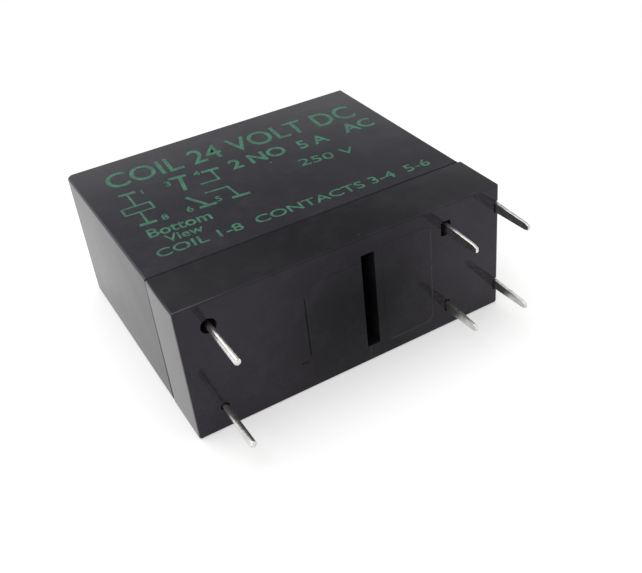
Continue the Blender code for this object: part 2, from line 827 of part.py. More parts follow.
# Card, terminals and contacts
def make_card(parts):
    """One moulded pusher: two prongs at the armature, a crossbar, and a finger to each blade."""
    start, end = 0, CARD_END - CARD_START
    bar_end = CARD_BAR_START + CARD_BAR_LENGTH
    half = [
        (start, CARD_PRONG_INNER),
        (start, CARD_PRONG_OUTER),
        (CARD_BAR_START, CARD_PRONG_OUTER),
        (CARD_BAR_START, CARD_BAR_HALF),
        (end, CARD_BAR_HALF),
        (end, CARD_FINGER_INNER),
        (bar_end, CARD_FINGER_INNER),
    ]
    notch = (CARD_BAR_START * 0.8, CARD_PRONG_INNER)
    upper = [notch, *half]
    points = upper + [(x, -z) for x, z in reversed(upper)]
    height = CARD_BOTTOM + CARD_THICKNESS / 2
    location = (along(CARD_START), above(height), MID_WIDTH)
    card = plate("card", points, CARD_THICKNESS, parts, location, FACE_XZ)
    finished(card, "card_white")
    hang_on(pivot("card_slide", location, parts), card)


def pin_outline(centre, length):
    """The lower outline of a blade pin, from its left shoulder round the tapered tip to its right one."""
    half, tip = TERMINAL_WIDTH / 2, TERMINAL_WIDTH / 2 - TIP_TAPER
    return [
        (centre - half, -length + TIP_LENGTH),
        (centre - tip, -length),
        (centre + tip, -length),
        (centre + half, -length + TIP_LENGTH),
    ]


def make_coil_pin(row, side, parts):
    z = row_z(side)
    top = WINDING_START + LEAD_POST
    taper = COIL_PIN_RADIUS / 3
    profile = [
        (0, top),
        (COIL_PIN_RADIUS, top),
        (COIL_PIN_RADIUS, -COIL_PIN_LENGTH + taper),
        (COIL_PIN_RADIUS - taper, -COIL_PIN_LENGTH),
        (0, -COIL_PIN_LENGTH),
    ]
    pin = turned(
        f"coil_pin_{row}", profile, parts, (along(COIL_COLUMN), above(0), z), ALONG_Y, SMALL_STEPS
    )
    finished(pin, "tinned_brass")


def make_lead(row, side, parts):
    """The winding's end: it leaves the winding and wraps round the post of the coil pin."""
    post = Vector((along(COIL_COLUMN), row_z(side)))
    axis = Vector((along(COIL_AXIS), MID_WIDTH))
    towards = (axis - post).normalized()
    wrap = COIL_PIN_RADIUS + SEAT / 2 + LEAD_RADIUS
    start = (axis - post).length - WINDING_RADIUS - SEAT / 2 - LEAD_RADIUS
    low = WINDING_START + SEAT + LEAD_RADIUS
    steps = int(LEAD_TURNS * 10)
    first = math.atan2(towards.y, towards.x)
    points = []
    for i in range(steps + 1):
        angle = first + side * 2 * math.pi * (LEAD_TURNS - i / 10)
        place_round = post + wrap * Vector((math.cos(angle), math.sin(angle)))
        points.append((place_round.x, above(low + LEAD_PITCH * (LEAD_TURNS - i / 10)), place_round.y))
    end = post + towards * start
    points.append((end.x, above(low), end.y))
    curve = bpy.data.curves.new(f"lead_wire_{row}", "CURVE")
    curve.dimensions = "3D"
    curve.bevel_depth = LEAD_RADIUS
    curve.bevel_resolution = 1
    curve.use_fill_caps = True
    spline = curve.splines.new("POLY")
    spline.points.add(len(points) - 1)
    for point, place_at in zip(spline.points, points):
        point.co = (*place_at, 1)
    finished(place(f"lead_wire_{row}", curve, parts), "enamel_copper")


def make_moving_terminal(row, side, parts, cutters):
    z, pole = row_z(side) - MID_WIDTH, pole_z(side) - MID_WIDTH
    shoulder = FLOOR + SEAT
    low, high = sorted((pole - TAB_WIDTH / 2, pole + TAB_WIDTH / 2))
    left, right = z - TERMINAL_WIDTH / 2, z + TERMINAL_WIDTH / 2
    slope_left, slope_right = max(0, low - left), max(0, right - high)
    tab = [
        (right, shoulder - slope_right),
        (high, shoulder + slope_right),
        (high, TAB_TOP),
        (low, TAB_TOP),
        (low, shoulder + slope_left),
        (left, shoulder - slope_left),
    ]
    points = pin_outline(z, CONTACT_PIN_LENGTH) + tab
    name = f"moving_terminal_{row}"
    place_at = (along(MOVING_COLUMN), above(0), MID_WIDTH)
    terminal = plate(name, points, TERMINAL_THICKNESS, parts, place_at, FACE_ZY)
    x, y = along(MOVING_COLUMN), above(BLADE_ROOT)
    hole = rod(
        f"terminal_hole_{row}",
        RIVET_RADIUS + SEAT,
        (x - BEYOND, y, pole_z(side)),
        (x + BEYOND, y, pole_z(side)),
        0,
        cutters,
        SMALL_STEPS,
    )
    finished(cut(terminal, hole), "tinned_brass")


def make_fixed_terminal(row, side, parts, cutters):
    """A blade pin at the end edge, a jog inwards along the floor, and an upright that carries the contact."""
    z = row_z(side) - MID_WIDTH
    half = TERMINAL_WIDTH / 2
    pin_points = pin_outline(z, CONTACT_PIN_LENGTH) + [(z + half, JOG_HEIGHT), (z - half, JOG_HEIGHT)]
    pin_place = (along(FIXED_COLUMN), above(0), MID_WIDTH)
    pin = plate(f"fixed_pin_{row}", pin_points, TERMINAL_THICKNESS, cutters, pin_place, FACE_ZY)
    path = rounded(
        [
            (along(FIXED_COLUMN), above(JOG_HEIGHT), 0),
            (along(UPRIGHT_COLUMN), above(JOG_HEIGHT), TERMINAL_THICKNESS),
            (along(UPRIGHT_COLUMN), above(FIXED_TERMINAL_TOP), 0),
        ]
    )
    name = f"fixed_terminal_{row}"
    terminal = bent_strip(name, path, TAB_WIDTH, TERMINAL_THICKNESS, parts, (0, 0, pole_z(side)))
    x, y = along(UPRIGHT_COLUMN), above(CONTACT_HEIGHT)
    hole = rod(
        f"fixed_contact_hole_{row}",
        CONTACT_SHANK + PIN_FIT,
        (x - BEYOND, y, pole_z(side)),
        (x + BEYOND, y, pole_z(side)),
        0,
        cutters,
        SMALL_STEPS,
    )
    join(terminal, pin)
    finished(cut(terminal, hole), "tinned_brass")


def make_fixed_contact(row, side, parts):
    under = UPRIGHT_COLUMN + TERMINAL_THICKNESS / 2 + SEAT / 2
    places = (
        -(under + CONTACT_BACK),
        -under,
        -(FIXED_FACE + FIXED_CONTACT_HEAD),
        -FIXED_FACE,
    )
    profile = double_rivet_profile(places, CONTACT_RADIUS * 0.75, CONTACT_SHANK, CONTACT_RADIUS)
    location = (along(0), above(CONTACT_HEIGHT), pole_z(side))
    contact = turned(f"fixed_contact_{row}", profile, parts, location, (0, -math.pi / 2, 0), 16)
    finished(contact, "contact_silver")


def blade_points():
    """Half round head at the contact, a narrower neck, and a foot as wide as the terminal's tab."""
    reach = CONTACT_HEIGHT - BLADE_ROOT
    neck, foot = BLADE_NECK / 2, TAB_WIDTH / 2
    join_angle = math.asin(neck / BLADE_HEAD_RADIUS)
    head = []
    steps = 12
    for i in range(steps + 1):
        angle = -math.pi / 2 + join_angle + (2 * math.pi - 2 * join_angle) * i / steps
        head.append((BLADE_HEAD_RADIUS * math.cos(angle), reach + BLADE_HEAD_RADIUS * math.sin(angle)))
    waist = TAB_TOP - BLADE_ROOT
    left = [(-neck, waist + foot), (-foot, waist), (-foot, -BLADE_TAIL)]
    right = [(foot, -BLADE_TAIL), (foot, waist), (neck, waist + foot)]
    return right + head + left


def make_blade(row, side, parts, cutters):
    z = pole_z(side)
    root = (along(MOVING_COLUMN), above(BLADE_ROOT), z)
    middle = along(BLADE_FACE + BLADE_THICKNESS / 2)
    blade = plate(
        f"moving_blade_{row}", blade_points(), BLADE_THICKNESS, parts, (middle, above(BLADE_ROOT), z), FACE_ZY
    )
    rivet_hole = rod(
        f"blade_rivet_hole_{row}",
        RIVET_RADIUS + PIN_FIT,
        (middle - BEYOND, above(BLADE_ROOT), z),
        (middle + BEYOND, above(BLADE_ROOT), z),
        0,
        cutters,
        SMALL_STEPS,
    )
    contact_hole = rod(
        f"blade_contact_hole_{row}",
        CONTACT_SHANK + PIN_FIT,
        (middle - BEYOND, above(CONTACT_HEIGHT), z),
        (middle + BEYOND, above(CONTACT_HEIGHT), z),
        0,
        cutters,
        SMALL_STEPS,
    )
    cut(blade, rivet_hole, contact_hole)
    finished(blade, "spring_bronze")

    under = BLADE_FACE + BLADE_THICKNESS + SEAT / 2
    tab_back = MOVING_COLUMN - TERMINAL_THICKNESS / 2 - SEAT
    rivet_places = (tab_back - RIVET_HEAD, tab_back, under, under + RIVET_HEAD)
    rivet_shape = double_rivet_profile(rivet_places, RIVET_HEAD_RADIUS, RIVET_RADIUS, RIVET_HEAD_RADIUS)
    rivet = turned(
        f"blade_rivet_{row}", rivet_shape, parts, (along(0), above(BLADE_ROOT), z), ALONG_X, SMALL_STEPS
    )
    finished(rivet, "tinned_brass")

    back = BLADE_FACE - SEAT / 2
    contact_places = (back - CONTACT_BACK, back, under, MOVING_FACE)
    contact_shape = double_rivet_profile(contact_places, CONTACT_RADIUS * 0.75, CONTACT_SHANK, CONTACT_RADIUS)
    contact = turned(
        f"moving_contact_{row}", contact_shape, parts, (along(0), above(CONTACT_HEIGHT), z), ALONG_X, 16
    )
    finished(contact, "contact_silver")
    hang_on(pivot(f"blade_{row}_flex", root, parts), blade, rivet, contact)


def smooth_round_pieces(parts):
    for obj in parts.objects:
        if obj.type == "MESH":
            obj.data.shade_smooth()
            obj.data.set_sharp_from_angle(angle=math.radians(35))


def main():
    clear_scene()
    parts = new_collection("signal_relay")
    cutters = new_collection("relay_cutters")
    make_cover(parts, cutters)
    make_base(parts, cutters)
    make_bobbin(parts, cutters)
    make_winding(parts)
    make_tape(parts)
    make_core(parts)
    make_yoke(parts, cutters)
    make_armature(parts)
    make_return_spring(parts, cutters)
    make_card(parts)
    for row, side in ROWS.items():
        make_coil_pin(row, side, parts)
        make_lead(row, side, parts)
        make_moving_terminal(row, side, parts, cutters)
        make_fixed_terminal(row, side, parts, cutters)
        make_fixed_contact(row, side, parts)
        make_blade(row, side, parts, cutters)
    smooth_round_pieces(parts)


main()
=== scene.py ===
import math

import bmesh
import bpy
from mathutils import Matrix, Quaternion, Vector


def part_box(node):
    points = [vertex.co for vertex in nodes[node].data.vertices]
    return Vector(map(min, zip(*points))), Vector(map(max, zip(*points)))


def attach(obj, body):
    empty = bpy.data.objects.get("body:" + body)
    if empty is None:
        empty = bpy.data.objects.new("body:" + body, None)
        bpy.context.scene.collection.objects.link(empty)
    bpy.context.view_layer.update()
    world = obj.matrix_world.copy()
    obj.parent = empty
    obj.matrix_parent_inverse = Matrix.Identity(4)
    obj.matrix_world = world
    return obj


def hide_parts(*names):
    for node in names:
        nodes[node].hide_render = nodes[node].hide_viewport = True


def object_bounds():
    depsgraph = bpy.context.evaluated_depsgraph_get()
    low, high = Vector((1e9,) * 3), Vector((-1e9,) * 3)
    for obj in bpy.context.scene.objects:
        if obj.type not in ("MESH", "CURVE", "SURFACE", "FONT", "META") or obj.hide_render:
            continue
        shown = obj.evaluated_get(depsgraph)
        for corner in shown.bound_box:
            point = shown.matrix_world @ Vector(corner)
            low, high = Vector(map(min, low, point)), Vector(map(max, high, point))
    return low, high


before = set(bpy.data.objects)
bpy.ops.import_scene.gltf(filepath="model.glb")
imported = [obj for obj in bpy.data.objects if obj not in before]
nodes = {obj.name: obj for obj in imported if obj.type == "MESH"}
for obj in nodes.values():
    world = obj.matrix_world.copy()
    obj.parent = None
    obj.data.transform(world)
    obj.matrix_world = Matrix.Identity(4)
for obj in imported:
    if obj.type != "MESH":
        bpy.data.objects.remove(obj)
cadLow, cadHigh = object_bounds()
print("frame loaded:", len(nodes), "pieces")

# The relay lies on its broad side: pins towards -Y, contact end towards +X, printed face up. All in metres.
baseLow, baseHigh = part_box("base")
coverLow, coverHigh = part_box("cover")
pinFaceY = baseLow.y
coilEndX = baseLow.x

inkThickness = 0.000012
weldDistance = 1e-7
tolerance = 1e-6
flatBelow = math.radians(0.6)   # faces that meet at less than this are one flat face
smoothBelow = math.radians(30)  # edges that turn less than this are shaded smooth
sharpAbove = math.radians(40)   # edges that turn more than this are rounded


# Small helpers for meshes
def newObject(name, data):
    piece = bpy.data.objects.new(name, data)
    bpy.context.scene.collection.objects.link(piece)
    return piece


# A finished bmesh becomes a piece that rides on its body.
def pieceFrom(name, shape, material, body="case", replaced=()):
    bmesh.ops.remove_doubles(shape, verts=shape.verts, dist=weldDistance)
    bmesh.ops.recalc_face_normals(shape, faces=shape.faces)
    mesh = bpy.data.meshes.new(name)
    shape.to_mesh(mesh)
    shape.free()
    mesh.materials.append(material)
    piece = newObject(name, mesh)
    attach(piece, body)
    if replaced:
        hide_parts(*replaced)
    return piece


# Smooth shading that stays flat on flat faces.
def smoothEdges(piece, angle=smoothBelow):
    piece.data.shade_smooth()
    piece.data.set_sharp_from_angle(angle=angle)
    weights = piece.modifiers.new("Flat faces", "WEIGHTED_NORMAL")
    weights.keep_sharp = True
    weights.weight = 100


def boxShape(low, high):
    shape = bmesh.new()
    bmesh.ops.create_cube(shape, size=1)
    bmesh.ops.scale(shape, vec=Vector(high) - Vector(low), verts=shape.verts)
    bmesh.ops.translate(shape, vec=(Vector(high) + Vector(low)) / 2, verts=shape.verts)
    return shape


def bevelEdges(shape, edges, radius, segments):
    bmesh.ops.bevel(
        shape, geom=edges, offset=radius, offset_type="OFFSET", segments=segments,
        profile=0.5, affect="EDGES", clamp_overlap=True, material=-1,
    )


def sharpEdges(shape):
    return [edge for edge in shape.edges if edge.is_manifold and edge.calc_face_angle() > sharpAbove]


# Welds doubled corners and joins the triangles of each flat face.
def joinFlatFaces(shape):
    bmesh.ops.remove_doubles(shape, verts=shape.verts, dist=weldDistance)
    bmesh.ops.dissolve_limit(
        shape, angle_limit=flatBelow, verts=shape.verts, edges=shape.edges, use_dissolve_boundaries=False,
    )


# Small helpers for materials
def newMaterial(name):
    material = bpy.data.materials.new(name)
    material.use_nodes = True
    return material, material.node_tree


# A shader node with its settings, and its sockets by name.
def addNode(tree, kind, **values):
    node = tree.nodes.new(kind)
    for key, value in values.items():
        if key in node.inputs:
            node.inputs[key].default_value = value
        else:
            setattr(node, key, value)
    return node


# Each value is a constant or another node's output, for the socket of that name or place.
def fillSockets(tree, node, values):
    for key, value in values.items():
        if isinstance(value, bpy.types.NodeSocket):
            tree.links.new(value, node.inputs[key])
        else:
            node.inputs[key].default_value = value


def fillSurface(tree, values):
    fillSockets(tree, tree.nodes["Principled BSDF"], values)


def maths(tree, operation, *values):
    node = addNode(tree, "ShaderNodeMath", operation=operation)
    fillSockets(tree, node, dict(enumerate(values)))
    return node.outputs["Value"]


def vectorMaths(tree, operation, *values):
    node = addNode(tree, "ShaderNodeVectorMath", operation=operation)
    fillSockets(tree, node, dict(enumerate(values)))
    return node.outputs["Value" if operation == "LENGTH" else "Vector"]


def objectPoints(tree, scale=(1, 1, 1)):
    points = addNode(tree, "ShaderNodeTexCoord")
    mapping = addNode(tree, "ShaderNodeMapping", Scale=scale)
    tree.links.new(points.outputs["Object"], mapping.inputs["Vector"])
    return mapping.outputs["Vector"]


def noise(tree, points, scale, detail, roughness=0.55):
    texture = addNode(tree, "ShaderNodeTexNoise", Scale=scale, Detail=detail, Roughness=roughness)
    tree.links.new(points, texture.inputs["Vector"])
    return texture.outputs["Fac"]


# A ramp of greys from (place, grey) stops.
def ramp(tree, value, *stops):
    node = addNode(tree, "ShaderNodeValToRGB")
    elements = node.color_ramp.elements
    while len(elements) < len(stops):
        elements.new(0.5)
    for element, (place, grey) in zip(elements, stops):
        element.position = place
        element.color = (grey, grey, grey, 1)
    tree.links.new(value, node.inputs["Fac"])
    return node.outputs["Color"]


# Maps a value that runs from start to end to one from low to high.
def spread(tree, value, low, high, start=0.0, end=1.0, smooth=False):
    node = addNode(tree, "ShaderNodeMapRange", interpolation_type="SMOOTHSTEP" if smooth else "LINEAR")
    limits = {"From Min": start, "From Max": end, "To Min": low, "To Max": high}
    fillSockets(tree, node, {"Value": value, **limits})
    return node.outputs["Result"]


def bump(tree, height, distance, strength=1.0, below=None):
    node = addNode(tree, "ShaderNodeBump", Strength=strength, Distance=distance)
    tree.links.new(height, node.inputs["Height"])
    if below is not None:
        tree.links.new(below, node.inputs["Normal"])
    return node.outputs["Normal"]


def blendColour(tree, factor, first, second):
    node = addNode(tree, "ShaderNodeMix", data_type="RGBA")
    tree.links.new(factor, node.inputs["Factor"])
    for socket, value in ((node.inputs[6], first), (node.inputs[7], second)):
        if isinstance(value, tuple):
            socket.default_value = (*value, 1)
        else:
            tree.links.new(value, socket)
    return node.outputs[2]


def blendShaders(tree, factor, first, second):
    node = addNode(tree, "ShaderNodeMixShader")
    fillSockets(tree, node, {0: factor, 1: first.outputs[0], 2: second.outputs[0]})
    return node.outputs[0]


# Camera
photoCamera = {
    "lens": 50.04,
    "azimuth": -29.66,
    "elevation": 33.90,
    "roll": -4.55,
    "shiftX": -0.070,
    "shiftY": -0.055,
    "fromPinFace": (-0.02598, -0.04801, 0.04769),  # from the middle of the pin face's lower edge
    "clipStart": 0.001,
}


def addCamera():
    azimuth, elevation = math.radians(photoCamera["azimuth"]), math.radians(photoCamera["elevation"])
    back = Vector((
        math.sin(azimuth) * math.cos(elevation),
        -math.cos(azimuth) * math.cos(elevation),
        math.sin(elevation),
    ))
    lensData = bpy.data.cameras.new("photoCamera")
    lensData.lens = photoCamera["lens"]
    lensData.shift_x = photoCamera["shiftX"]
    lensData.shift_y = photoCamera["shiftY"]
    lensData.clip_start = photoCamera["clipStart"]
    camera = newObject("photoCamera", lensData)
    camera.location = Vector(photoCamera["fromPinFace"]) + Vector((0, pinFaceY, 0))
    camera.rotation_mode = "QUATERNION"
    roll = Quaternion((0, 0, 1), math.radians(photoCamera["roll"]))
    camera.rotation_quaternion = (-back).to_track_quat("-Z", "Y") @ roll
    bpy.context.scene.camera = camera
    bpy.context.scene.view_settings.view_transform = "Standard"


# Light, floor and background
studio = {
    "ambient": 0.60,
    # What glossy surfaces see: greys by height, then by side, and their strength
    "skyByHeight": ((0.42, 1.0), (0.485, 0.42), (0.54, 0.34), (0.62, 0.52), (0.90, 1.0)),
    "skyBySide": ((0.14, 1.0), (0.34, 0.62), (0.55, 0.92)),
    "skyStrength": 1.35,
    "topLamp": {"energy": 0.42, "size": 0.30, "place": (-0.06, 0.12, 0.34)},
    "sideLamp": {"energy": 0.10, "size": 0.20, "place": (-0.26, -0.16, 0.16)},
    "floorColour": (0.90, 0.90, 0.895),
    "floorSize": 3.0,
    "floorGap": 0.00002,
    # How far from the middle the floor starts to go over to white, and where it is white
    "whiteFrom": 0.018,
    "whiteTo": 0.055,
    # Light added to the floor, as the camera sees it and as glossy surfaces mirror it
    "seenLift": 0.38,
    "mirroredLift": 0.33,
}


# 1 for camera, glossy and transmission rays, 0 for the diffuse rays that light the object.
def seenRays(tree):
    paths = addNode(tree, "ShaderNodeLightPath")
    seen = paths.outputs["Is Camera Ray"]
    for other in ("Is Glossy Ray", "Is Transmission Ray"):
        seen = maths(tree, "MAXIMUM", seen, paths.outputs[other])
    return seen


# Even light for the object, a graded sky for what it mirrors, and white for the camera.
def addWorld():
    world = bpy.data.worlds.new("studio")
    bpy.context.scene.world = world
    world.use_nodes = True
    tree = world.node_tree
    tree.nodes.clear()
    direction = addNode(tree, "ShaderNodeTexCoord")
    parts = addNode(tree, "ShaderNodeSeparateXYZ")
    tree.links.new(direction.outputs["Generated"], parts.inputs[0])
    sky = addNode(tree, "ShaderNodeMix", data_type="RGBA", blend_type="MULTIPLY", Factor=1.0)
    tree.links.new(ramp(tree, parts.outputs["Z"], *studio["skyByHeight"]), sky.inputs[6])
    tree.links.new(ramp(tree, parts.outputs["X"], *studio["skyBySide"]), sky.inputs[7])
    brighter = addNode(tree, "ShaderNodeVectorMath", operation="SCALE", Scale=studio["skyStrength"])
    tree.links.new(sky.outputs[2], brighter.inputs[0])
    camera = addNode(tree, "ShaderNodeLightPath").outputs["Is Camera Ray"]
    light = addNode(tree, "ShaderNodeBackground", Color=(1, 1, 1, 1), Strength=studio["ambient"])
    seen = addNode(tree, "ShaderNodeBackground", Strength=1.0)
    tree.links.new(blendColour(tree, camera, brighter.outputs[0], (1, 1, 1)), seen.inputs["Color"])
    out = addNode(tree, "ShaderNodeOutputWorld")
    tree.links.new(blendShaders(tree, seenRays(tree), light, seen), out.inputs["Surface"])


def addLamp(name):
    settings = studio[name]
    lampData = bpy.data.lights.new(name, "AREA")
    lampData.shape = "DISK"
    lampData.energy = settings["energy"]
    lampData.size = settings["size"]
    lamp = newObject(name, lampData)
    lamp.location = settings["place"]
    lamp.rotation_mode = "QUATERNION"
    lamp.rotation_quaternion = (-Vector(settings["place"])).to_track_quat("-Z", "Y")


# Pale floor that keeps the shadow near the object and goes over to plain white further out.
def floorMaterial():
    material, tree = newMaterial("floorPaper")
    tree.nodes.clear()
    away = vectorMaths(tree, "LENGTH", objectPoints(tree))
    far = spread(tree, away, 0.0, 1.0, studio["whiteFrom"], studio["whiteTo"], smooth=True)
    paths = addNode(tree, "ShaderNodeLightPath")
    amount = maths(
        tree, "MAXIMUM",
        spread(tree, paths.outputs["Is Camera Ray"], 0.0, studio["seenLift"]),
        spread(tree, paths.outputs["Is Glossy Ray"], 0.0, studio["mirroredLift"]),
    )
    paper = addNode(tree, "ShaderNodeBsdfDiffuse", Color=(*studio["floorColour"], 1))
    lift = addNode(tree, "ShaderNodeEmission", Color=(1, 1, 1, 1))
    tree.links.new(amount, lift.inputs["Strength"])
    near = addNode(tree, "ShaderNodeAddShader")
    fillSockets(tree, near, {0: paper.outputs[0], 1: lift.outputs[0]})
    white = addNode(tree, "ShaderNodeEmission", Color=(1, 1, 1, 1), Strength=1.0)
    out = addNode(tree, "ShaderNodeOutputMaterial")
    share = maths(tree, "MULTIPLY", far, seenRays(tree))
    tree.links.new(blendShaders(tree, share, near, white), out.inputs["Surface"])
    return material


def addFloor():
    shape = bmesh.new()
    bmesh.ops.create_grid(shape, x_segments=2, y_segments=2, size=studio["floorSize"] / 2)
    bmesh.ops.translate(shape, vec=(0, 0, cadLow.z - studio["floorGap"]), verts=shape.verts)
    mesh = bpy.data.meshes.new("floor")
    shape.to_mesh(mesh)
    shape.free()
    mesh.materials.append(floorMaterial())
    newObject("floor", mesh)


# Black plastic
plastic = {
    "specular": 0.30,
    "scuffs": {"scale": 380, "detail": 6, "roughness": 0.7},
    "scuffStops": ((0.46, 0.0), (0.80, 1.0)),
    "dustColour": (0.16, 0.16, 0.17),
    "dustScale": 800,
    "dustSize": 0.075,     # of a cell
    "dustRarity": 0.955,   # the share of cells without dust
    "gloss": {"scale": 260, "detail": 4},
    "waves": {"scale": 300, "detail": 2},
    "erosion": {"scale": 9000, "detail": 2, "roughness": 0.6},
}
coverPlastic = {
    "name": "coverSatin",
    "colour": (0.0130, 0.0118, 0.0165),
    "worn": (0.030, 0.028, 0.037),
    "tint": (0.90, 0.86, 1.0, 1),
    "roughness": (0.16, 0.26),
    "grain": 0.0000024,
    "peel": 0.000008,
}
basePlastic = {
    "name": "baseGloss",
    "colour": (0.0095, 0.0090, 0.0105),
    "worn": (0.022, 0.021, 0.024),
    "tint": (0.91, 0.82, 1.0, 1),
    "roughness": (0.05, 0.12),
    "grain": 0.0000004,
    "peel": 0.000005,
}


# Tiny pale specks: the middles of a few cells.
def dust(tree, points):
    cells = addNode(tree, "ShaderNodeTexVoronoi", Scale=plastic["dustScale"], Randomness=1.0)
    tree.links.new(points, cells.inputs["Vector"])
    chance = addNode(tree, "ShaderNodeSeparateColor")
    tree.links.new(cells.outputs["Color"], chance.inputs[0])
    near = maths(tree, "LESS_THAN", cells.outputs["Distance"], plastic["dustSize"])
    few = maths(tree, "GREATER_THAN", chance.outputs[0], plastic["dustRarity"])
    return maths(tree, "MULTIPLY", near, few)


# Moulded black plastic: fine eroded grain, slow waves in the gloss, scuffs and a little dust.
def blackPlastic(name, colour, worn, tint, roughness, grain, peel):
    material, tree = newMaterial(name)
    points = objectPoints(tree)
    scuffs = ramp(tree, noise(tree, points, **plastic["scuffs"]), *plastic["scuffStops"])
    body = blendColour(tree, scuffs, colour, worn)
    slow = bump(tree, noise(tree, points, **plastic["waves"]), peel)
    fillSurface(tree, {
        "Base Color": blendColour(tree, dust(tree, points), body, plastic["dustColour"]),
        "Roughness": spread(tree, noise(tree, points, **plastic["gloss"]), *roughness),
        "Specular IOR Level": plastic["specular"],
        "Specular Tint": tint,
        "Normal": bump(tree, noise(tree, points, **plastic["erosion"]), grain, below=slow),
    })
    return material


# Marks of the pin face, placed in millimetres from the coil end and from the lower side
pinFaceMarks = {
    "steps": (
        {"low": (10.1, -2.0), "high": (15.2, 9.8), "radius": 0.00090, "edge": 0.00010},
        {"low": (16.65, 1.2), "high": (21.3, 10.6), "radius": 0.00080, "edge": 0.00010},
    ),
    "stepHeight": 0.00002,
    # Painted shade: thin lines without reflection, standing for the shaded walls at a panel's right and
    # lower edges
    "shadedEdgeLines": (
        {"low": (9.76, 3.2), "high": (9.92, 8.7), "radius": 0.00007, "edge": 0.00006},
        {"low": (8.95, 2.65), "high": (9.65, 2.80), "radius": 0.00006, "edge": 0.00005},
    ),
    # Painted shade: round this middle the face mirrors less, so it looks darker there
    "shadedMiddle": (14.6, 6.2),
    "shadedRadius": 0.0120,
    "shadedSpecular": 0.09,
    "outerSpecular": 0.345,
}


def placeOnBase(place):
    return Vector((coilEndX + place[0] / 1000, 0, place[1] / 1000 + baseLow.z))


# A rounded rectangle on the pin face: 1 inside, 0 outside. It reaches 1 m along Y, so depth plays no part.
def markedArea(tree, mark):
    low, high = placeOnBase(mark["low"]), placeOnBase(mark["high"])
    centre, half = (low + high) / 2, (high - low) / 2
    radius = mark["radius"]
    sides = vectorMaths(tree, "ABSOLUTE", vectorMaths(tree, "SUBTRACT", objectPoints(tree), centre))
    past = vectorMaths(tree, "SUBTRACT", sides, (half.x - radius, 1, half.z - radius))
    away = vectorMaths(tree, "LENGTH", vectorMaths(tree, "MAXIMUM", past, (0, 0, 0)))
    return spread(tree, away, 1.0, 0.0, radius - mark["edge"], radius, smooth=True)


# The base's plastic, with raised areas, thin lines of painted shade, and painted shade round the slot where
# less is mirrored.
def pinFacePlastic():
    material = blackPlastic(**basePlastic)
    tree = material.node_tree
    normal = tree.nodes["Principled BSDF"].inputs["Normal"].links[0].from_socket
    for mark in pinFaceMarks["steps"]:
        normal = bump(tree, markedArea(tree, mark), pinFaceMarks["stepHeight"], below=normal)
    # Painted shade: the specular level falls towards the middle of the round zone
    away = vectorMaths(tree, "SUBTRACT", objectPoints(tree), placeOnBase(pinFaceMarks["shadedMiddle"]))
    distance = vectorMaths(tree, "LENGTH", vectorMaths(tree, "MULTIPLY", away, (1, 0, 1)))
    shine = spread(
        tree, distance, pinFaceMarks["shadedSpecular"], pinFaceMarks["outerSpecular"],
        end=pinFaceMarks["shadedRadius"], smooth=True,
    )
    # Painted shade: the reflection is taken away along these lines
    for mark in pinFaceMarks["shadedEdgeLines"]:
        outside = maths(tree, "SUBTRACT", 1.0, markedArea(tree, mark))
        shine = maths(tree, "MULTIPLY", shine, outside)
    fillSurface(tree, {"Normal": normal, "Specular IOR Level": shine})
    return material


# Hot dipped tin: soft lumps, dull patches and fine drawing lines along the pin
tin = {
    "colour": (0.78, 0.77, 0.75),
    "dark": (0.50, 0.50, 0.47),
    "patches": {"scale": 1900, "detail": 4, "roughness": 0.6},
    "patchStops": ((0.38, 0.0), (0.70, 1.0)),
    "gloss": {"scale": 2600, "detail": 3},
    "roughness": (0.20, 0.38),
    "lumps": {"scale": 1500, "detail": 2},
    "lumpDepth": 0.00003,
    "lines": {"scale": 16000, "detail": 2},
    "lineStretch": (1, 0.06, 1),
    "lineDepth": 0.000003,
    "strength": 0.6,
}


def tinnedMetal():
    material, tree = newMaterial("tinnedPins")
    points = objectPoints(tree)
    patches = ramp(tree, noise(tree, points, **tin["patches"]), *tin["patchStops"])
    lumps = bump(tree, noise(tree, points, **tin["lumps"]), tin["lumpDepth"], tin["strength"])
    lines = noise(tree, objectPoints(tree, tin["lineStretch"]), **tin["lines"])
    fillSurface(tree, {
        "Metallic": 1.0,
        "Base Color": blendColour(tree, patches, tin["colour"], tin["dark"]),
        "Roughness": spread(tree, noise(tree, points, **tin["gloss"]), *tin["roughness"]),
        "Normal": bump(tree, lines, tin["lineDepth"], tin["strength"], lumps),
    })
    return material


# Sheet or turned metal with rolling lines and slight tarnish
metal = {
    "tarnish": {"scale": 900, "detail": 4, "roughness": 0.6},
    "tarnishStops": ((0.4, 0.0), (0.75, 1.0)),
    "lines": {"scale": 14000, "detail": 2},
    "lineDepth": 0.000002,
    "lineStrength": 0.5,
}


def plainMetal(name, colour, dark, roughness, stretch=(1, 1, 1)):
    material, tree = newMaterial(name)
    tarnish = ramp(tree, noise(tree, objectPoints(tree), **metal["tarnish"]), *metal["tarnishStops"])
    lines = noise(tree, objectPoints(tree, stretch), **metal["lines"])
    fillSurface(tree, {
        "Metallic": 1.0,
        "Base Color": blendColour(tree, tarnish, colour, dark),
        "Roughness": spread(tree, lines, *roughness),
        "Normal": bump(tree, lines, metal["lineDepth"], metal["lineStrength"]),
    })
    return material


# Pale moulding resin with faint flow marks
resin = {
    "flow": {"scale": 500, "detail": 4},
    "flowStretch": (1, 2.5, 1),
    "grain": {"scale": 6000, "detail": 2},
    "grainDepth": 0.000004,
    "grainStrength": 0.4,
}


def mouldedResin(name, colour, shade, roughness):
    material, tree = newMaterial(name)
    flow = noise(tree, objectPoints(tree, resin["flowStretch"]), **resin["flow"])
    grain = noise(tree, objectPoints(tree), **resin["grain"])
    fillSurface(tree, {
        "Base Color": blendColour(tree, flow, colour, shade),
        "Roughness": spread(tree, flow, *roughness),
        "Normal": bump(tree, grain, resin["grainDepth"], resin["grainStrength"]),
    })
    return material
